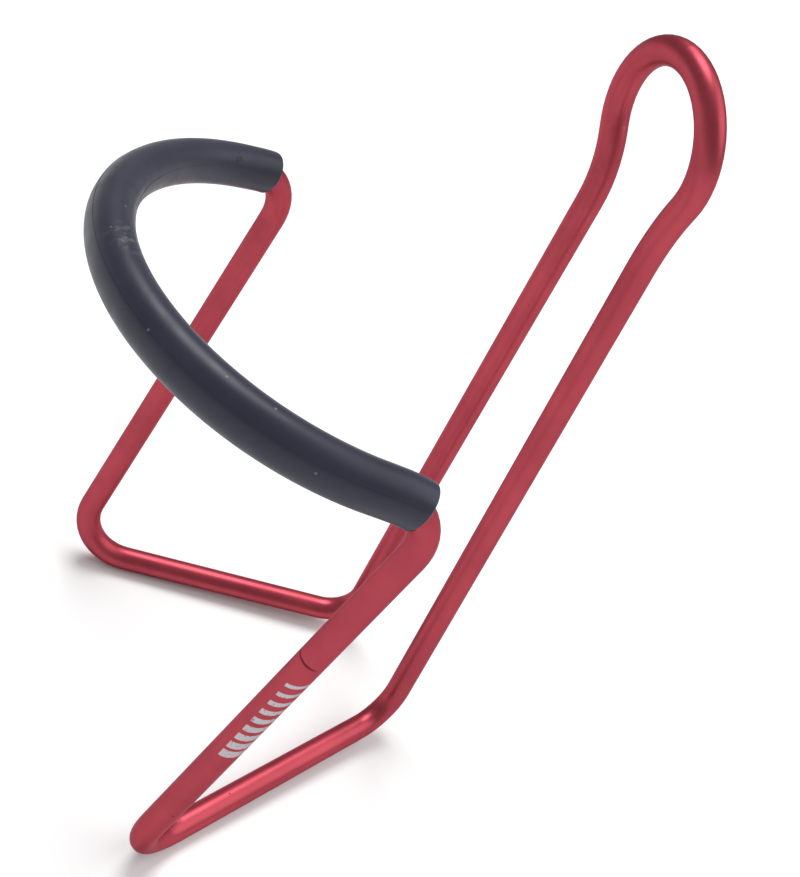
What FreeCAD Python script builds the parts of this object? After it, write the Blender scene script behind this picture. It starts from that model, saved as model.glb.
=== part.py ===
import FreeCAD, Part
import math
import os

# Water bottle cage for a bicycle: one bent tube closed on itself, the joint pin
# that holds its two ends together, and the rubber sleeve on its front hoop.
#
# Millimetres. +Z runs up along the rails, +Y points at the bicycle's frame tube
# and the bottle stands on the -Y side. The origin is midway between the two
# frame bolts, on the plane that the backs of the rails touch.

# ---- driving dimensions: stock and fits
TUBE_OD = 4.7625            # 3/16 inch tube
TUBE_WALL = 1.2
END_CHAMFER = 0.18          # broken edge on the two butted tube ends
SEAM_GAP = 0.06             # daylight left between the two tube ends
PIN_CLEARANCE = 0.01        # per side, pin in the tube's bore
SLEEVE_CLEARANCE = 0.02     # per side, sleeve over the tube

# ---- driving dimensions: rails and top loop
RAIL_HALF_BOTTOM = 12.7     # half the rail spacing at the bottom bend
RAIL_HALF_NECK = 9.5        # half the rail spacing at the neck
RAIL_LENGTH = 121.3         # height of the neck above the bottom bend
RAIL_BEND_RADIUS = 8.0
NECK_RADIUS = 30.0
LOOP_RADIUS = 13.15
LOOP_CENTRE_RISE = 11.65    # loop centre above the neck, in the loop's plane
LOOP_LEAN = 10.1            # degrees the loop leans over the bottle
BOLT_CENTRE_HEIGHT = 61.5   # middle of the bolt pair above the bottom bend

# ---- driving dimensions: base and sides
BASE_CORNER_X = 35.4
BASE_REACH = 58.2           # how far the base runs out from the rails
BASE_DROP = 2.1             # how far its outer corners lie below the bottom bend
BASE_CORNER_RADIUS = 9.7
SEAM_FROM_BASE = 61.3       # along the right side run, from the base corner

# ---- driving dimensions: front hoop
HOOP_RADIUS = 39.65
HOOP_HALF_ANGLE = 75.8      # degrees of arc on each side of the middle
HOOP_REACH = 77.85          # middle of the hoop, out from the rails
HOOP_HEIGHT = 97.9          # middle of the hoop, above the bottom bend
HOOP_DROP_ANGLE = 9.8       # degrees the hoop falls towards the rails
SHOULDER_STRAIGHT = 2.6     # straight run between hoop and shoulder bend
SHOULDER_RADIUS = 8.8

# ---- driving dimensions: joint pin and sleeve
PIN_LENGTH = 24.0
PIN_CHAMFER = 0.4
SLEEVE_HEIGHT = 8.0         # section across the hoop's plane
SLEEVE_DEPTH = 6.85         # section in the hoop's plane
SLEEVE_LENGTH = 118.0       # measured along the sleeve's own middle line
SLEEVE_END_RADIUS = 30.0    # the stiff rubber bends less than the tube at its ends
SLEEVE_OFFSET = 0.9         # how far the sleeve sits off the hoop's middle, towards +X

TUBE_RADIUS = TUBE_OD / 2
BORE_RADIUS = TUBE_RADIUS - TUBE_WALL
SHORTEST_RUN = 0.001        # a straight run shorter than this is left out
CORNER_PASSES = 20          # rounds that settle where the shoulder's corner stands


def at(x, y, z):
    """A point given from the bottom bend's plane, moved into the part's frame."""
    return FreeCAD.Vector(x, y - TUBE_RADIUS, z - BOLT_CENTRE_HEIGHT)


def mirrored(point):
    return FreeCAD.Vector(-point.x, point.y, point.z)


def unit(vector):
    return FreeCAD.Vector(vector).normalize()


# ---- the tube's corners, right-hand side, before rounding

def loop_corners():
    """The neck corner, and the loop corner where the flank meets the level top."""
    lean = math.radians(LOOP_LEAN)
    up = FreeCAD.Vector(0, -math.sin(lean), math.cos(lean))
    neck = at(RAIL_HALF_NECK, 0, RAIL_LENGTH)
    neck_to_centre = math.hypot(RAIL_HALF_NECK, LOOP_CENTRE_RISE)
    flank_angle = (math.atan2(LOOP_CENTRE_RISE, -RAIL_HALF_NECK)
                   - math.asin(LOOP_RADIUS / neck_to_centre))
    top_rise = LOOP_CENTRE_RISE + LOOP_RADIUS
    side_step = FreeCAD.Vector(top_rise / math.tan(flank_angle), 0, 0)
    return neck, neck + up * top_rise + side_step


def hoop_corners(shoulder_radius):
    """The far-off corner that the hoop rounds, and the shoulder corner for a bend of that radius."""
    drop = math.radians(HOOP_DROP_ANGLE)
    half_angle = math.radians(HOOP_HALF_ANGLE)
    inward = FreeCAD.Vector(0, math.cos(drop), -math.sin(drop))
    sideways = FreeCAD.Vector(1, 0, 0)
    centre = at(0, -HOOP_REACH, HOOP_HEIGHT) + inward * HOOP_RADIUS
    front = centre - inward * (HOOP_RADIUS / math.cos(half_angle))
    along = sideways * math.cos(half_angle) + inward * math.sin(half_angle)
    hoop_end = front + along * (HOOP_RADIUS * math.tan(half_angle))
    base = base_corner()
    length = shoulder_radius + SHOULDER_STRAIGHT
    for _ in range(CORNER_PASSES):
        shoulder = hoop_end + along * length
        half_corner = (base - shoulder).getAngle(hoop_end - shoulder) / 2
        length = SHOULDER_STRAIGHT + shoulder_radius / math.tan(half_corner)
    return front, shoulder


def base_corner():
    return at(BASE_CORNER_X, -BASE_REACH, -BASE_DROP)


def seam_point():
    shoulder = hoop_corners(SHOULDER_RADIUS)[1]
    return base_corner() + unit(shoulder - base_corner()) * SEAM_FROM_BASE


def tube_corners():
    """Every corner with its bend radius, from the seam over the hoop and back to the seam."""
    front, shoulder = hoop_corners(SHOULDER_RADIUS)
    neck, loop = loop_corners()
    rail_bottom = at(RAIL_HALF_BOTTOM, 0, 0)
    right = [
        (shoulder, SHOULDER_RADIUS),
        (base_corner(), BASE_CORNER_RADIUS),
        (rail_bottom, RAIL_BEND_RADIUS),
        (neck, NECK_RADIUS),
        (loop, LOOP_RADIUS),
    ]
    left = [(mirrored(point), radius) for point, radius in right]
    return [right[0], (front, HOOP_RADIUS)] + left + right[:0:-1]


# ---- rounding the corners, and carrying a section along the result

def rounded_route(start, corners, end):
    """Straight runs and tangent arcs from start to end, as ("run", vector) and
    ("bend", centre, axis, degrees)."""
    route = []
    here = start
    points = [start] + [point for point, _ in corners] + [end]
    for index, (corner, radius) in enumerate(corners):
        back = unit(points[index] - corner)
        onward = unit(points[index + 2] - corner)
        half_corner = back.getAngle(onward) / 2
        bend_start = corner + back * (radius / math.tan(half_corner))
        centre = corner + unit(back + onward) * (radius / math.sin(half_corner))
        axis = unit(onward.cross(back))
        degrees = 180 - math.degrees(2 * half_corner)
        if (bend_start - here).Length > SHORTEST_RUN:
            route.append(("run", bend_start - here))
        route.append(("bend", centre, axis, degrees))
        here = corner + onward * (radius / math.tan(half_corner))
    route.append(("run", end - here))
    return route


def step_length(step, here):
    if step[0] == "run":
        return step[1].Length
    return (here - step[1]).Length * math.radians(step[3])


def moved(point, step):
    """Where a point on the route's start stands after one step."""
    if step[0] == "run":
        return point + step[1]
    turn = FreeCAD.Rotation(step[2], step[3])
    return step[1] + turn.multVec(point - step[1])


def carried(section, route):
    """One solid, from a flat section carried along the route without twist."""
    pieces = []
    for step in route:
        if step[0] == "run":
            pieces.append(section.extrude(step[1]))
            section = section.translated(step[1])
        else:
            pieces.append(section.revolve(step[1], step[2], step[3]))
            section = section.rotated(step[1], step[2], step[3])
    return pieces[0].multiFuse(pieces[1:]).Solids[0]


def cut_route(route, start, first, last):
    """The steps of the route that lie between two distances along it."""
    stretch = []
    here = start
    travelled = 0.0
    for step in route:
        length = step_length(step, here)
        low = max(first - travelled, 0.0) / length
        high = min(last - travelled, length) / length
        if low < high:
            stretch.append(scaled(step, high - low))
        here = moved(here, step)
        travelled += length
    return stretch


def scaled(step, share):
    """The first share of a step, for a run or a bend."""
    if step[0] == "run":
        return ("run", step[1] * share)
    return ("bend", step[1], step[2], step[3] * share)


def disc(centre, direction, radius):
    return Part.Face(Part.Wire(Part.makeCircle(radius, centre, direction)))


# ---- the pieces

def tube_route():
    seam = seam_point()
    along = unit(hoop_corners(SHOULDER_RADIUS)[1] - base_corner())
    start = seam + along * (SEAM_GAP / 2)
    end = seam - along * (SEAM_GAP / 2)
    return start, rounded_route(start, tube_corners(), end), end, along


def frame_tube():
    start, route, end, along = tube_route()
    outside = carried(disc(start, along, TUBE_RADIUS), route)
    bore = carried(disc(start, along, BORE_RADIUS), route)
    tube = outside.cut(bore)
    return broken_ends(tube, [(start, along), (end, along * -1)])


def broken_ends(tube, ends):
    """Takes the sharp outer edge off each end of the tube."""
    keep_radius = TUBE_RADIUS - END_CHAMFER
    for point, inward in ends:
        cone = Part.makeCone(keep_radius, TUBE_RADIUS, END_CHAMFER, point, inward)
        block = Part.makeCylinder(TUBE_OD, END_CHAMFER, point, inward)
        tube = tube.cut(block.cut(cone))
    return tube.Solids[0]


def joint_pin():
    _, _, _, along = tube_route()
    radius = BORE_RADIUS - PIN_CLEARANCE
    foot = seam_point() - along * (PIN_LENGTH / 2)
    pin = Part.makeCylinder(radius, PIN_LENGTH, foot, along)
    rims = [edge for edge in pin.Edges if edge.Closed]
    return pin.makeChamfer(PIN_CHAMFER, rims).Solids[0]


def hoop_middle_distance(route, start):
    """Distance along the tube from its start to the middle of the front hoop."""
    travelled = 0.0
    here = start
    for step in route:
        length = step_length(step, here)
        if step[0] == "bend" and abs((here - step[1]).Length - HOOP_RADIUS) < SHORTEST_RUN:
            return travelled + length / 2
        travelled += length
        here = moved(here, step)


def oval_section(centre, direction, upward):
    """An oval that is square to the tube, its long axis as near upward as it can be."""
    across = unit(direction.cross(upward))
    height_axis = unit(across.cross(direction))
    ellipse = Part.Ellipse(
        centre + height_axis * (SLEEVE_HEIGHT / 2),
        centre + across * (SLEEVE_DEPTH / 2),
        centre,
    )
    return Part.Face(Part.Wire(ellipse.toShape()))


def sleeve_route():
    """The sleeve's own middle line: the tube's along the hoop, with a gentler bend at each end."""
    front, shoulder = hoop_corners(SLEEVE_END_RADIUS)
    start = base_corner()
    corners = [
        (shoulder, SLEEVE_END_RADIUS),
        (front, HOOP_RADIUS),
        (mirrored(shoulder), SLEEVE_END_RADIUS),
    ]
    return start, rounded_route(start, corners, mirrored(start))


def grip_sleeve():
    start, route = sleeve_route()
    middle = hoop_middle_distance(route, start)
    first = middle - SLEEVE_LENGTH / 2 - SLEEVE_OFFSET

    # the oval stands square to the hoop's plane at its middle, and is carried back to the +X end
    drop = math.radians(HOOP_DROP_ANGLE)
    hoop_up = FreeCAD.Vector(0, math.sin(drop), math.cos(drop))
    middle_point = at(0, -HOOP_REACH, HOOP_HEIGHT)
    section = oval_section(middle_point, FreeCAD.Vector(-1, 0, 0), hoop_up)
    for step in reversed(cut_route(route, start, first, middle)):
        if step[0] == "run":
            section = section.translated(step[1] * -1)
        else:
            section = section.rotated(step[1], step[2], -step[3])
    outside = carried(section, cut_route(route, start, first, first + SLEEVE_LENGTH))

    tube_start, tube_steps, _, along = tube_route()
    bore = carried(disc(tube_start, along, TUBE_RADIUS + SLEEVE_CLEARANCE), tube_steps)
    return outside.cut(bore).Solids[0]


def tube_length():
    start, route, _, _ = tube_route()
    total = 0.0
    here = start
    for step in route:
        total += step_length(step, here)
        here = moved(here, step)
    return total


PIECES = {
    "frame_tube": frame_tube,
    "joint_pin": joint_pin,
    "grip_sleeve": grip_sleeve,
}


def main():
    os.makedirs("parts", exist_ok=True)
    for name, build in PIECES.items():
        shape = build()
        shape.exportStep("parts/" + name + ".step")
        box = shape.BoundBox
        print(name, "valid", shape.isValid(), "solids", len(shape.Solids), "volume", round(shape.Volume, 1),
              "box", [round(v, 2) for v in (box.XMin, box.YMin, box.ZMin, box.XMax, box.YMax, box.ZMax)])
    section = math.pi * (TUBE_RADIUS ** 2 - BORE_RADIUS ** 2)
    print("tube length", round(tube_length(), 1), "section x length", round(section * tube_length(), 1))


main()
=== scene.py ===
import math

import bpy
from mathutils import Matrix, Quaternion, Vector


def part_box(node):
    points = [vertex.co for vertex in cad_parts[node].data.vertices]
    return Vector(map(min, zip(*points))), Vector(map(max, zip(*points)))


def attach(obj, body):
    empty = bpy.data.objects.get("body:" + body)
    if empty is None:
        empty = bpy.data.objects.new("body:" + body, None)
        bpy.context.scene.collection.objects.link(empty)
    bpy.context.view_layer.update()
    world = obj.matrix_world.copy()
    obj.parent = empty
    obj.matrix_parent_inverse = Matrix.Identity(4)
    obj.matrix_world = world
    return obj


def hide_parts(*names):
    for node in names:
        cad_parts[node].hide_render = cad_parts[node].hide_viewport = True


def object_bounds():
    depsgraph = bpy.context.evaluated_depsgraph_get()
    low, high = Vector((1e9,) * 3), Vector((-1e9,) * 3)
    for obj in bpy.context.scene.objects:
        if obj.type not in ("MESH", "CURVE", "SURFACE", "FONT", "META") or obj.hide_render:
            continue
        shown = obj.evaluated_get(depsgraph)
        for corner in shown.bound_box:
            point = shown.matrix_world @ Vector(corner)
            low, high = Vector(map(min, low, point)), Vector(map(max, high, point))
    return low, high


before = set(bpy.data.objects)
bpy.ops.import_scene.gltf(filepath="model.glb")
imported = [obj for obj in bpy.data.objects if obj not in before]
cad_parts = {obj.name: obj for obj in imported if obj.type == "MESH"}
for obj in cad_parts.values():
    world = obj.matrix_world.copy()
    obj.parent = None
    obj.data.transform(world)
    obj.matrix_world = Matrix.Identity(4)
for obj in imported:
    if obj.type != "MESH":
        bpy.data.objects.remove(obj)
cad_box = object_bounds()

# Water bottle cage: a red anodised tube, the bare pin inside it, and a rubber sleeve on
# the front hoop. Metres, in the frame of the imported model: +Z up the rails, +Y towards
# the bicycle's frame tube, the bottle on the -Y side.

# ---- the hoop that the sleeve sits on, and the bend that follows it
HOOP_RADIUS = 0.03965
HOOP_HALF_ANGLE = math.radians(75.8)
HOOP_DROP = math.radians(9.8)
SHOULDER_STRAIGHT = 0.0026
SHOULDER_RADIUS = 0.0088
TUBE_RADIUS = 0.00238125
BASE_CORNER = Vector((0.0354, -0.06058, -0.0636))
SEAM_FROM_BASE = 0.0613

# ---- the sleeve
SLEEVE_LENGTH = 0.1180
SLEEVE_END_RADIUS = 0.030       # the stiff rubber bends less than the tube at its ends
SLEEVE_OFFSET = 0.0009          # how far the sleeve sits off the hoop's middle, towards +X
SLEEVE_HEIGHT = 0.0080          # section across the hoop's plane
SLEEVE_DEPTH = 0.00685          # section in the hoop's plane
SLEEVE_CLEARANCE = 0.00002
FLASH_WIDTH = 0.00016           # thin ridge along the mould line
FLASH_HEIGHT = 0.00004
SKIN_HEIGHT = SLEEVE_HEIGHT - 2 * FLASH_HEIGHT      # the ridge stays inside the full section
SKIN_DEPTH = SLEEVE_DEPTH - 2 * FLASH_HEIGHT
SECTION_POINTS = 96
STEP_ALONG = 0.0011             # spacing of the sections along the sleeve
RIM_ROUND = 0.00030             # rounded outer rim at each end, clear of the bore's edge
RIM_SEGMENTS = 5
SKIN_BEND_STEPS = 5
BORE_BEND_STEPS = 14
BORE_SPARE = math.radians(16)   # carries the bore past the end, where it is cut off
TOUCHING = 0.000005             # points nearer than this are one point
CORNER_PASSES = 20              # rounds that settle where the shoulder's corner stands
PARTING_ANGLE = math.radians(24)    # both mould lines, above the section's own middle
SMOOTH_BELOW = math.radians(35)
EJECTOR_ROUND_HOOP = math.radians(69.6)     # from the middle of the hoop towards -X
EJECTOR_ROUND_SECTION = math.radians(139)   # from the outward side over the top
EJECTOR_RADIUS = 0.00055
EJECTOR_WALL = 0.00007
EJECTOR_DOT = 0.00012
EJECTOR_SIDE_DOT = 0.000096
EJECTOR_DOT_STEP = 0.0013       # from the ring's middle to the side dot
SCUFF_ROUND_HOOP = math.radians(-3)
SCUFF_ROUND_SECTION = math.radians(108)
SCUFF_REACH = 0.0045
SCUFF_STRENGTH = 0.60

# ---- the etched mark on the +X side run
MARK_FROM_SEAM = 0.0035
MARK_LENGTH = 0.0205
MARK_HEIGHT = 0.0034
MARK_PITCH = 0.0024
MARK_SLANT = 0.45
MARK_WIDE_BAR = 0.75            # share of the pitch that the widest and the thinnest bar fill
MARK_THIN_BAR = 0.30
MARK_FACING = Vector((0.98, -0.21, -0.01))
MARK_WEAR_SIZE = 0.0004

# ---- colours
CLEAR_RED = (0.420, 0.064, 0.085, 1.0)
DEEP_RED = (0.362, 0.055, 0.075, 1.0)
PIT_RED = (0.12, 0.016, 0.022, 1.0)
ETCHED_SILVER = (0.47, 0.46, 0.48, 1.0)
RUBBER_DARK = (0.017, 0.019, 0.036, 1.0)
RUBBER_LIGHT = (0.024, 0.026, 0.047, 1.0)
DUST_GREY = (0.22, 0.23, 0.24, 1.0)
CHALK_GREY = (0.20, 0.21, 0.22, 1.0)
DULL_ALUMINIUM = (0.66, 0.66, 0.68, 1.0)
CLEAN_ALUMINIUM = (0.80, 0.80, 0.81, 1.0)
FLOOR_WHITE = (0.92, 0.92, 0.92, 1.0)
FLOOR_SHADE = (0.90, 0.90, 0.90, 1.0)

# ---- sizes of the finishes' detail
DYE_CLOUD = 0.011
SATIN_CLOUD = 0.0040
DRAWN_GRAIN = 0.00025
DRAWN_GRAIN_DEPTH = 0.000008
PIT_SPACING = 0.0075
PIT_SIZE = 0.00022
PIT_DEPTH = 0.00005
RUBBER_CLOUD = 0.009
RUBBER_GLOSS_CLOUD = 0.0035
MOULD_GRAIN = 0.00035
MOULD_GRAIN_DEPTH = 0.000010
MOULD_RIPPLE = 0.0040
MOULD_RIPPLE_DEPTH = 0.000060
DUST_SPACING = 0.0052
DUST_SIZE = 0.00022
CHALK_SIZE = 0.0010
LATHE_CLOUD = 0.002
LATHE_RINGS = 2500.0            # wave scale that puts the rings an eighth of a millimetre apart
LATHE_RING_DEPTH = 0.000006
FLOOR_CLOUD = 0.05

# ---- view and light
VIEW_AZIMUTH = 51.33
VIEW_ELEVATION = 31.27
VIEW_ROLL = 28.38
VIEW_PLACE = Vector((0.13346, -0.12149, 0.12808))
VIEW_LENS = 47.716
VIEW_SHIFT = (-0.0918, -0.0912)
FLOOR_SIZE = 14.0
ROOM_BRIGHTNESS = 0.42


# ---- places

def hoop_frame():
    """The hoop's own frame: origin at its centre, +Y towards the rails, +Z square to the hoop."""
    low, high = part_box("grip_sleeve")
    half_height = SLEEVE_HEIGHT / 2
    half_depth = SLEEVE_DEPTH / 2
    reach_out = math.hypot(half_depth * math.cos(HOOP_DROP), half_height * math.sin(HOOP_DROP))
    reach_up = math.hypot(half_height * math.cos(HOOP_DROP), half_depth * math.sin(HOOP_DROP))
    middle = Vector((0, low.y + reach_out, high.z - reach_up))
    turn = Matrix.Rotation(-HOOP_DROP, 4, "X")
    return Matrix.Translation(middle + turn @ Vector((0, HOOP_RADIUS, 0))) @ turn


def hoop_arc_end():
    """Where the hoop's arc ends on the +X side and the way it points there, in its own frame."""
    outward = Vector((math.sin(HOOP_HALF_ANGLE), -math.cos(HOOP_HALF_ANGLE), 0))
    along = Vector((math.cos(HOOP_HALF_ANGLE), math.sin(HOOP_HALF_ANGLE), 0))
    return outward * HOOP_RADIUS, along


def shoulder_corner(radius):
    """The corner that a shoulder bend of that radius rounds, and the base corner after it, both in
    the hoop's own frame."""
    arc_end, along = hoop_arc_end()
    base = hoop_frame().inverted() @ BASE_CORNER
    reach = radius
    for _ in range(CORNER_PASSES):
        corner = arc_end + along * reach
        turn = along.angle(base - corner)
        reach = SHOULDER_STRAIGHT + radius * math.tan(turn / 2)
    return corner, base


def shoulder_bend(radius):
    """A shoulder bend of that radius, in the hoop's frame: where it starts, its centre and axis."""
    arc_end, along = hoop_arc_end()
    corner, base = shoulder_corner(radius)
    axis = along.cross(base - corner).normalized()
    start = arc_end + along * SHOULDER_STRAIGHT
    return start, start + axis.cross(along) * radius, axis


def sleeve_end(offset):
    """The middle of the sleeve's end face and the way it points, in the hoop's frame."""
    _, along = hoop_arc_end()
    start, centre, axis = shoulder_bend(SLEEVE_END_RADIUS)
    rotation = Matrix.Rotation(end_turn(offset), 3, axis)
    return centre + rotation @ (start - centre), rotation @ along


def end_turn(offset):
    """How far the sleeve's middle line turns in its end bend."""
    before = HOOP_RADIUS * HOOP_HALF_ANGLE + SHOULDER_STRAIGHT
    return (SLEEVE_LENGTH / 2 + offset - before) / SLEEVE_END_RADIUS


# ---- working on meshes

def work_on(piece):
    """Leaves edit mode and makes the piece the only selected one."""
    if bpy.context.mode != "OBJECT":
        bpy.ops.object.mode_set(mode="OBJECT")
    bpy.ops.object.select_all(action="DESELECT")
    piece.select_set(True)
    bpy.context.view_layer.objects.active = piece


def apply_modifier(piece, kind, **settings):
    """Adds a modifier with those settings and applies it."""
    work_on(piece)
    modifier = piece.modifiers.new(kind.lower(), kind)
    for setting, value in settings.items():
        setattr(modifier, setting, value)
    bpy.ops.object.modifier_apply(modifier=modifier.name)


# ---- the rubber sleeve

def sleeve_section():
    """The sleeve's cut face at the middle of the hoop, in the hoop's frame: an oval ring."""
    place = (0, -HOOP_RADIUS, 0)
    quarter_turn = (0, math.radians(90), 0)
    bpy.ops.object.select_all(action="DESELECT")
    bpy.ops.mesh.primitive_circle_add(
        vertices=SECTION_POINTS, radius=SKIN_DEPTH / 2, location=place, rotation=quarter_turn)
    sleeve = bpy.context.active_object
    bpy.ops.object.transform_apply(location=True, rotation=True, scale=True)
    bpy.ops.object.mode_set(mode="EDIT")
    bpy.ops.transform.resize(value=(1, 1, SKIN_HEIGHT / SKIN_DEPTH), center_override=place)
    name_ring(sleeve, "skin", 0)
    mark_parting_line(sleeve)
    bpy.ops.mesh.select_all(action="DESELECT")
    bpy.ops.mesh.primitive_circle_add(
        vertices=SECTION_POINTS, radius=TUBE_RADIUS + SLEEVE_CLEARANCE,
        location=place, rotation=quarter_turn)
    name_ring(sleeve, "bore", SECTION_POINTS)
    bpy.ops.mesh.select_all(action="SELECT")
    return sleeve


def name_ring(sleeve, name, first_point):
    """Keeps one ring of the section as a vertex group, which follows it as it is carried along."""
    bpy.ops.object.mode_set(mode="OBJECT")
    points = list(range(first_point, first_point + SECTION_POINTS))
    sleeve.vertex_groups.new(name=name).add(points, 1.0, "REPLACE")
    bpy.ops.object.mode_set(mode="EDIT")


def mark_parting_line(sleeve):
    """Keeps the two points of the oval where the mould's halves meet as a vertex group."""
    bpy.ops.object.mode_set(mode="OBJECT")
    group = sleeve.vertex_groups.new(name="parting_line")
    for side in (-1, 1):
        wanted = Vector((
            0,
            -HOOP_RADIUS + side * SKIN_DEPTH / 2 * math.cos(PARTING_ANGLE),
            SKIN_HEIGHT / 2 * math.sin(PARTING_ANGLE)))
        nearest = min(sleeve.data.vertices, key=lambda vertex: (vertex.co - wanted).length)
        group.add([nearest.index], 1.0, "REPLACE")
    bpy.ops.object.mode_set(mode="EDIT")


def carry_section_along_half():
    """Carries both selected rings from the middle of the hoop to where the shoulder bends start."""
    _, along = hoop_arc_end()
    bpy.ops.mesh.spin(
        steps=round(HOOP_RADIUS * HOOP_HALF_ANGLE / STEP_ALONG), angle=-HOOP_HALF_ANGLE,
        center=(0, 0, 0), axis=(0, 0, 1))
    bpy.ops.mesh.extrude_region_move(
        TRANSFORM_OT_translate={"value": along * SHOULDER_STRAIGHT})


def select_rings(sleeve, names, middle, along):
    """Selects the named rings' points in the cut face at that middle, square to that direction."""
    bpy.ops.mesh.select_mode(type="VERT")
    bpy.ops.mesh.select_all(action="DESELECT")
    bpy.ops.object.mode_set(mode="OBJECT")
    wanted = {sleeve.vertex_groups[name].index for name in names}
    for vertex in sleeve.data.vertices:
        off = vertex.co - middle
        in_face = off.length < SLEEVE_HEIGHT and abs(off.dot(along)) < TOUCHING
        vertex.select = in_face and any(entry.group in wanted for entry in vertex.groups)
    bpy.ops.object.mode_set(mode="EDIT")


def carry_ring_round_bend(sleeve, name, radius, turn, steps):
    """Carries one of the two rings at the end of the straight round a bend."""
    start, centre, axis = shoulder_bend(radius)
    _, along = hoop_arc_end()
    select_rings(sleeve, (name,), start, along)
    bpy.ops.mesh.spin(steps=steps, angle=-turn, center=centre, axis=axis)


def close_end(sleeve, offset):
    """Cuts the bore off where the skin ends, closes the end face and rounds its outer rim, which
    the mould line does not reach."""
    middle, along = sleeve_end(offset)
    bpy.ops.mesh.select_all(action="SELECT")
    bpy.ops.mesh.bisect(plane_co=middle, plane_no=along, clear_outer=True, threshold=TOUCHING)
    select_rings(sleeve, ("skin", "bore"), middle, along)
    bpy.ops.mesh.bridge_edge_loops()
    select_rings(sleeve, ("skin",), middle, along)
    bpy.ops.mesh.bevel(offset=RIM_ROUND, segments=RIM_SEGMENTS, affect="EDGES")
    bpy.ops.object.vertex_group_set_active(group="parting_line")
    bpy.ops.object.vertex_group_remove_from()


def sleeve_half(offset):
    """The +X half of a sleeve whose end stands that much further out than a centred one's."""
    sleeve = sleeve_section()
    turn = end_turn(offset)
    bore_turn = turn * SLEEVE_END_RADIUS / SHOULDER_RADIUS + BORE_SPARE
    carry_section_along_half()
    carry_ring_round_bend(sleeve, "skin", SLEEVE_END_RADIUS, turn, SKIN_BEND_STEPS)
    carry_ring_round_bend(sleeve, "bore", SHOULDER_RADIUS, bore_turn, BORE_BEND_STEPS)
    close_end(sleeve, offset)
    bpy.ops.object.mode_set(mode="OBJECT")
    return sleeve


def joined_halves(right, left):
    """One closed sleeve from its +X half and a half that is turned over to the -X side."""
    work_on(left)
    bpy.ops.object.mode_set(mode="EDIT")
    bpy.ops.mesh.select_all(action="SELECT")
    bpy.ops.transform.resize(value=(-1, 1, 1), center_override=(0, 0, 0))
    bpy.ops.object.mode_set(mode="OBJECT")
    left.select_set(True)
    right.select_set(True)
    bpy.context.view_layer.objects.active = right
    bpy.ops.object.join()
    right.matrix_world = hoop_frame()
    bpy.ops.object.transform_apply(location=True, rotation=True, scale=True)
    bpy.ops.object.mode_set(mode="EDIT")
    bpy.ops.mesh.select_all(action="SELECT")
    bpy.ops.mesh.remove_doubles(threshold=TOUCHING)
    bpy.ops.mesh.normals_make_consistent(inside=False)
    return right


def raise_mould_flash(sleeve):
    """Raises a thin ridge along the two lines where the mould's halves met."""
    bpy.ops.mesh.select_mode(type="VERT")
    bpy.ops.mesh.select_all(action="DESELECT")
    bpy.ops.object.vertex_group_set_active(group="parting_line")
    bpy.ops.object.vertex_group_select()
    bpy.ops.mesh.select_mode(type="EDGE")
    bpy.ops.mesh.bevel(offset=FLASH_WIDTH / 2, segments=1, affect="EDGES")
    bpy.ops.mesh.extrude_region_shrink_fatten(
        TRANSFORM_OT_shrink_fatten={"value": FLASH_HEIGHT})


def rubber_sleeve():
    """The whole sleeve, in place of the plain one: two halves, mould flash and ejector mark."""
    sleeve = joined_halves(sleeve_half(SLEEVE_OFFSET), sleeve_half(-SLEEVE_OFFSET))
    sleeve.name = "rubber_grip_sleeve"
    raise_mould_flash(sleeve)
    bpy.ops.object.mode_set(mode="OBJECT")
    add_ejector_mark(sleeve)
    work_on(sleeve)
    bpy.ops.object.shade_smooth_by_angle(angle=SMOOTH_BELOW)
    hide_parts("grip_sleeve")
    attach(sleeve, "root")
    return sleeve


def add_ejector_mark(sleeve):
    """The small raised ring and dots that ejector pins left inside the hoop, near the -X end."""
    spot, outward, across = place_on_skin(EJECTOR_ROUND_HOOP, EJECTOR_ROUND_SECTION)
    turn = outward.to_track_quat("Z", "Y").to_euler()
    bpy.ops.object.select_all(action="DESELECT")
    bpy.ops.mesh.primitive_torus_add(
        major_radius=EJECTOR_RADIUS, minor_radius=EJECTOR_WALL, major_segments=32,
        minor_segments=10, location=spot, rotation=turn)
    marks = [bpy.context.active_object]
    side_spot = spot + across * EJECTOR_DOT_STEP
    for place, radius in ((spot, EJECTOR_DOT), (side_spot, EJECTOR_SIDE_DOT)):
        bpy.ops.mesh.primitive_uv_sphere_add(
            segments=16, ring_count=8, radius=radius, location=place, rotation=turn)
        marks.append(bpy.context.active_object)
    for mark in marks:
        apply_modifier(sleeve, "BOOLEAN", object=mark, operation="UNION", solver="EXACT")
    for mark in marks:
        bpy.data.objects.remove(mark)


def place_on_skin(round_hoop, round_section):
    """A point on the sleeve's skin, the way the skin faces there, and the way round the section."""
    hoop = hoop_frame()
    outward_of_hoop = Vector((-math.sin(round_hoop), -math.cos(round_hoop), 0))
    upward = Vector((0, 0, 1))
    half_height = SKIN_HEIGHT / 2
    half_depth = SKIN_DEPTH / 2
    spot = (outward_of_hoop * (HOOP_RADIUS + half_depth * math.cos(round_section))
            + upward * half_height * math.sin(round_section))
    facing = (outward_of_hoop * math.cos(round_section) / half_depth
              + upward * math.sin(round_section) / half_height).normalized()
    round_section = facing.cross(outward_of_hoop.cross(upward)).normalized()
    turn = hoop.to_3x3()
    return hoop @ spot, turn @ facing, turn @ round_section


# ---- materials

def new_material(name, **constants):
    """A principled material with its constant values set, ready for nodes."""
    material = bpy.data.materials.new(name)
    material.use_nodes = True
    shader = material.node_tree.nodes["Principled BSDF"]
    for socket, value in constants.items():
        shader.inputs[socket.replace("_", " ")].default_value = value
    return material, shader


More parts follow.
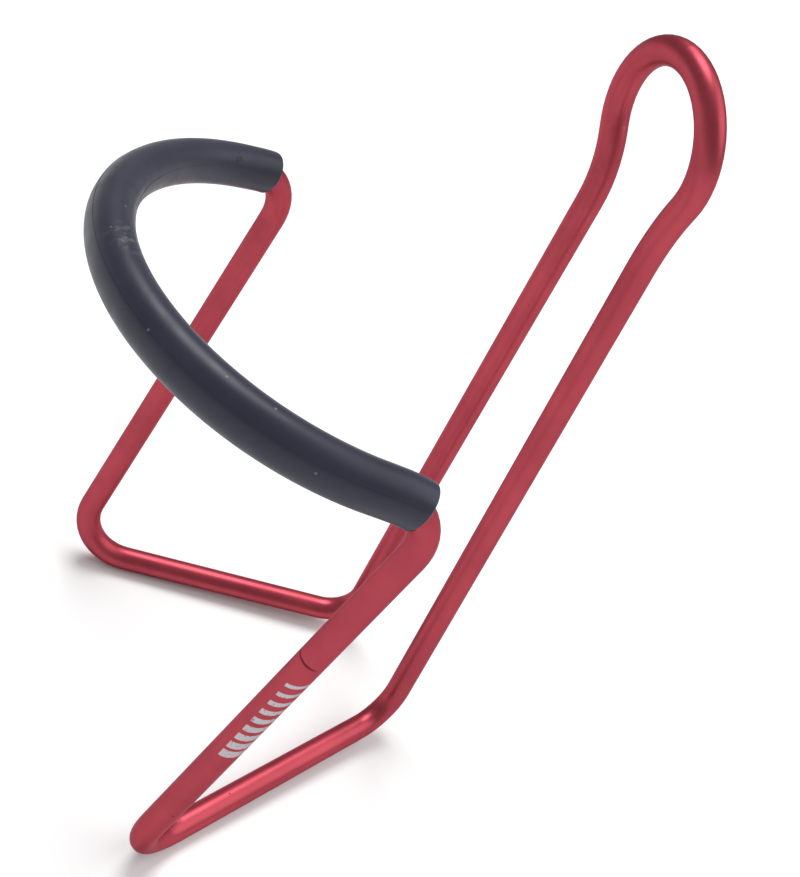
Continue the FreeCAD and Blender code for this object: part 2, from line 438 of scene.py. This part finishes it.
def add_node(material, kind, inputs=None, **settings):
    """Adds a node. Its inputs are given by name or number, as values or as other nodes' outputs."""
    tree = material.node_tree
    node = tree.nodes.new(kind)
    for setting, value in settings.items():
        setattr(node, setting, value)
    for socket, value in (inputs or {}).items():
        if isinstance(value, bpy.types.NodeSocket):
            tree.links.new(value, node.inputs[socket])
        else:
            node.inputs[socket].default_value = value
    return node


def object_places(material):
    """Places in the model's own frame, in metres."""
    return add_node(material, "ShaderNodeTexCoord").outputs["Object"]


def noise(material, size, detail=3.0, places=None):
    """Cloudy variation from 0 to 1 whose lumps are about the given size."""
    return add_node(material, "ShaderNodeTexNoise", {
        "Vector": places or object_places(material), "Scale": 1 / size, "Detail": detail,
    }).outputs["Fac"]


def between(material, value, low, high, to_low=0.0, to_high=1.0):
    """Maps a value between low and high onto another range, held at its ends."""
    return add_node(material, "ShaderNodeMapRange", {
        "Value": value, "From Min": low, "From Max": high, "To Min": to_low, "To Max": to_high,
    }).outputs["Result"]


def maths(material, operation, first, second=0.0):
    """One sum on two values or sockets."""
    return add_node(material, "ShaderNodeMath", {0: first, 1: second},
                    operation=operation).outputs["Value"]


def colour_mix(material, share, first, second):
    """A colour between two colours."""
    node = add_node(material, "ShaderNodeMix", data_type="RGBA")
    tree = material.node_tree
    for socket, value in ((0, share), (6, first), (7, second)):
        if isinstance(value, bpy.types.NodeSocket):
            tree.links.new(value, node.inputs[socket])
        else:
            node.inputs[socket].default_value = value
    return node.outputs[2]


def specks(material, spacing, size):
    """Sparse round specks: 1 inside one, 0 outside."""
    distance = add_node(material, "ShaderNodeTexVoronoi", {
        "Vector": object_places(material), "Scale": 1 / spacing,
    }).outputs["Distance"]
    return between(material, distance, size / spacing, size / spacing * 0.7)


def join(material, shader, socket, value):
    """Wires a value to one of the shader's inputs."""
    material.node_tree.links.new(value, shader.inputs[socket])


def bump(material, height, depth, strength, after=None):
    """Relief of that depth, laid over another bump where one is given."""
    inputs = {"Height": height, "Distance": depth, "Strength": strength}
    if after is not None:
        inputs["Normal"] = after
    return add_node(material, "ShaderNodeBump", inputs).outputs["Normal"]


def side_run_places(material):
    """Places on the +X side run: X up the run from the seam, Z the way the etched face looks."""
    corner = hoop_frame() @ shoulder_corner(SHOULDER_RADIUS)[0]
    along = (corner - BASE_CORNER).normalized()
    seam = BASE_CORNER + along * SEAM_FROM_BASE
    facing = MARK_FACING - along * MARK_FACING.dot(along)
    facing.normalize()
    axes = Matrix((along, facing.cross(along), facing)).transposed()
    return add_node(material, "ShaderNodeMapping", {
        "Vector": object_places(material), "Location": seam, "Rotation": axes.to_euler(),
    }, vector_type="TEXTURE").outputs["Vector"]


def etched_mark(material):
    """A plain row of slanted bars under the seam, 1 on a bar and 0 elsewhere."""
    parts = add_node(material, "ShaderNodeSeparateXYZ", {
        "Vector": side_run_places(material),
    }).outputs
    leaning = maths(material, "MULTIPLY_ADD", parts["Y"], MARK_SLANT)
    leaning.node.inputs[2].default_value = 0.0
    material.node_tree.links.new(parts["X"], leaning.node.inputs[2])
    in_length = maths(material, "COMPARE", leaning, -(MARK_FROM_SEAM + MARK_LENGTH / 2))
    in_length.node.inputs[2].default_value = MARK_LENGTH / 2
    in_height = maths(material, "COMPARE", parts["Y"], 0.0)
    in_height.node.inputs[2].default_value = MARK_HEIGHT / 2
    outside = maths(material, "GREATER_THAN", parts["Z"], 0.0)
    place_in_bar = maths(material, "FRACT", maths(material, "DIVIDE", leaning, MARK_PITCH))
    bar_share = between(material, leaning, -(MARK_FROM_SEAM + MARK_LENGTH), -MARK_FROM_SEAM,
                        MARK_WIDE_BAR, MARK_THIN_BAR)
    in_bar = maths(material, "LESS_THAN", place_in_bar, bar_share)
    mask = maths(material, "MULTIPLY", maths(material, "MULTIPLY", in_length, in_height),
                 maths(material, "MULTIPLY", outside, in_bar))
    worn = between(material, noise(material, MARK_WEAR_SIZE), 0.30, 0.42)
    return maths(material, "MULTIPLY", mask, worn)


def red_anodised_tube():
    """Drawn aluminium tube, satin, anodised red, with fine grain, cloudy dye and a few pits."""
    material, shader = new_material(
        "red_anodised_drawn_tube", Metallic=1.0, Specular_Tint=(0.62, 0.52, 0.54, 1.0))
    dye = colour_mix(material, between(material, noise(material, DYE_CLOUD), 0.35, 0.65),
                     DEEP_RED, CLEAR_RED)
    pits = specks(material, PIT_SPACING, PIT_SIZE)
    pitted = colour_mix(material, pits, dye, PIT_RED)
    mark = etched_mark(material)
    join(material, shader, "Base Color", colour_mix(material, mark, pitted, ETCHED_SILVER))
    satin = between(material, noise(material, SATIN_CLOUD), 0.3, 0.7, 0.38, 0.46)
    join(material, shader, "Roughness", satin)
    grain = bump(material, noise(material, DRAWN_GRAIN, 4.0), DRAWN_GRAIN_DEPTH, 0.6)
    pitted_skin = bump(material, maths(material, "SUBTRACT", 1.0, pits), PIT_DEPTH, 0.7, grain)
    join(material, shader, "Normal", pitted_skin)
    return material


def black_rubber():
    """Moulded blue-black rubber: soft sheen, fine mould grain, a chalky scuff and dust specks."""
    material, shader = new_material(
        "moulded_blue_black_rubber", Metallic=0.0, IOR=1.5, Specular_IOR_Level=0.35)
    cloudy = between(material, noise(material, RUBBER_CLOUD), 0.3, 0.7)
    rubber = colour_mix(material, cloudy, RUBBER_DARK, RUBBER_LIGHT)
    dust = specks(material, DUST_SPACING, DUST_SIZE)
    dusty = colour_mix(material, maths(material, "MULTIPLY", dust, 0.5), rubber, DUST_GREY)
    scuff = scuff_on_crown(material)
    join(material, shader, "Base Color", colour_mix(material, scuff, dusty, CHALK_GREY))
    gloss = between(material, noise(material, RUBBER_GLOSS_CLOUD, 4.0), 0.3, 0.7, 0.36, 0.46)
    join(material, shader, "Roughness", gloss)
    grain = bump(material, noise(material, MOULD_GRAIN, 4.0), MOULD_GRAIN_DEPTH, 0.6)
    ripple = bump(material, noise(material, MOULD_RIPPLE, 2.0), MOULD_RIPPLE_DEPTH, 0.5, grain)
    join(material, shader, "Normal", ripple)
    return material


def scuff_on_crown(material):
    """A chalky rubbed streak on the inner side of the sleeve's crown, 0 to 1."""
    middle, _, _ = place_on_skin(SCUFF_ROUND_HOOP, SCUFF_ROUND_SECTION)
    off = add_node(material, "ShaderNodeVectorMath", {0: object_places(material), 1: middle},
                   operation="DISTANCE").outputs["Value"]
    near = between(material, off, SCUFF_REACH, SCUFF_REACH * 0.2)
    chalk = between(material, noise(material, CHALK_SIZE, 6.0), 0.50, 0.72)
    return maths(material, "MULTIPLY", maths(material, "MULTIPLY", near, chalk), SCUFF_STRENGTH)


def bare_aluminium():
    """Turned aluminium rod, with the fine rings a lathe leaves."""
    material, shader = new_material("turned_bare_aluminium", Metallic=1.0)
    clean = between(material, noise(material, LATHE_CLOUD), 0.3, 0.7)
    join(material, shader, "Base Color", colour_mix(
        material, clean, DULL_ALUMINIUM, CLEAN_ALUMINIUM))
    join(material, shader, "Roughness", between(material, clean, 0.0, 1.0, 0.28, 0.40))
    rings = add_node(material, "ShaderNodeTexWave", {
        "Vector": side_run_places(material), "Scale": LATHE_RINGS, "Distortion": 0.5,
    }).outputs["Fac"]
    join(material, shader, "Normal", bump(material, rings, LATHE_RING_DEPTH, 0.5))
    return material


def pale_floor():
    material, shader = new_material("pale_floor", Roughness=0.9, Specular_IOR_Level=0.1)
    cloudy = noise(material, FLOOR_CLOUD)
    join(material, shader, "Base Color", colour_mix(
        material, cloudy, FLOOR_SHADE, FLOOR_WHITE))
    return material


def dress(piece, material):
    """Gives every material slot of a piece the same material."""
    if not piece.material_slots:
        piece.data.materials.append(material)
    for place in piece.material_slots:
        place.material = material


# ---- floor, light and camera

def floor():
    """The pale floor that the base corners stand on."""
    bpy.ops.object.select_all(action="DESELECT")
    bpy.ops.mesh.primitive_plane_add(size=FLOOR_SIZE, location=(0, 0, cad_box[0].z))
    plane = bpy.context.active_object
    plane.name = "floor"
    dress(plane, pale_floor())


def room_light():
    """An even, dim room all round."""
    world = bpy.data.worlds.new("soft_room")
    world.use_nodes = True
    background = world.node_tree.nodes["Background"]
    background.inputs["Color"].default_value = (1.0, 1.0, 1.0, 1.0)
    background.inputs["Strength"].default_value = ROOM_BRIGHTNESS
    bpy.context.scene.world = world


def soft_lamp(name, direction, spread_degrees, strength):
    """A far, wide lamp that shines from a direction and lights the whole floor evenly."""
    light = bpy.data.lights.new(name, "SUN")
    light.angle = math.radians(spread_degrees)
    light.energy = strength
    lamp = bpy.data.objects.new(name, light)
    lamp.rotation_euler = Vector(direction).to_track_quat("Z", "Y").to_euler()
    bpy.context.scene.collection.objects.link(lamp)


def camera():
    """A camera that looks down on the +X side of the cage, turned about its line of sight."""
    azimuth = math.radians(VIEW_AZIMUTH)
    elevation = math.radians(VIEW_ELEVATION)
    back = Vector((
        math.sin(azimuth) * math.cos(elevation),
        -math.cos(azimuth) * math.cos(elevation),
        math.sin(elevation)))
    data = bpy.data.cameras.new("camera")
    data.lens = VIEW_LENS
    data.shift_x, data.shift_y = VIEW_SHIFT
    data.clip_start = 0.01
    eye = bpy.data.objects.new("camera", data)
    eye.rotation_mode = "QUATERNION"
    level = (-back).to_track_quat("-Z", "Y")
    eye.rotation_quaternion = Quaternion(back, math.radians(VIEW_ROLL)) @ level
    eye.location = VIEW_PLACE
    bpy.context.scene.collection.objects.link(eye)
    bpy.context.scene.camera = eye


# ---- the whole scene

sleeve = rubber_sleeve()
dress(sleeve, black_rubber())
dress(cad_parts["frame_tube"], red_anodised_tube())
dress(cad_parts["joint_pin"], bare_aluminium())
floor()
room_light()
soft_lamp("overhead_lamp", (-0.38, 0.05, 0.92), 32.0, 2.1)
soft_lamp("window_lamp", (0.28, 0.70, 0.65), 60.0, 1.3)
camera()
bpy.context.scene.view_settings.view_transform = "Standard"
